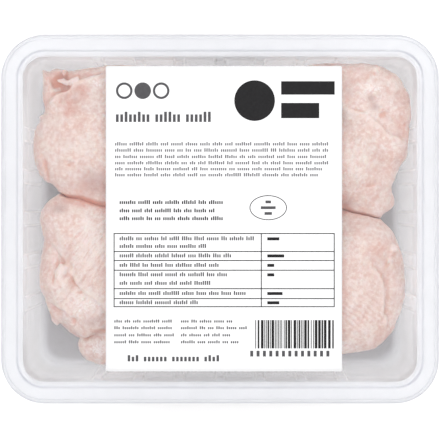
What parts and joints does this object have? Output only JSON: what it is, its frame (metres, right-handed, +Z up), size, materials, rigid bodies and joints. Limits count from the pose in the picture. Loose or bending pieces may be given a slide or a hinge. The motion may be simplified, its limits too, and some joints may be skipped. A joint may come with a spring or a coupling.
{
  "type": "sealed tray of raw chicken wings",
  "caption": "Folded raw chicken wings, skin side up, in a clear ribbed plastic tray with a wide flange, a welded clear film and a white paper label.",
  "frame": {"origin": "on the table, under the middle of the tray's outline", "axes": "+X along the longer side of the tray, to the right in the picture; +Y towards the back edge, the top of the picture; +Z up, from the floor to the label"},
  "size_m": [0.19, 0.16, 0.0427],
  "materials": {
    "tray_plastic": "clear, slightly milky polypropylene, thermoformed, satin",
    "film": "clear lidding film, glossy",
    "label_paper": "white coated paper, printed in black",
    "chicken_skin": "raw chicken skin, moist, lightly frosted"
  },
  "bodies": {
    "root": {"tray": "tray_plastic", "lid_film": "film", "label": "label_paper", "wing_back_left": "chicken_skin", "wing_back_right": "chicken_skin", "wing_front_left": "chicken_skin", "wing_front_right": "chicken_skin"}
  },
  "joints": []
}
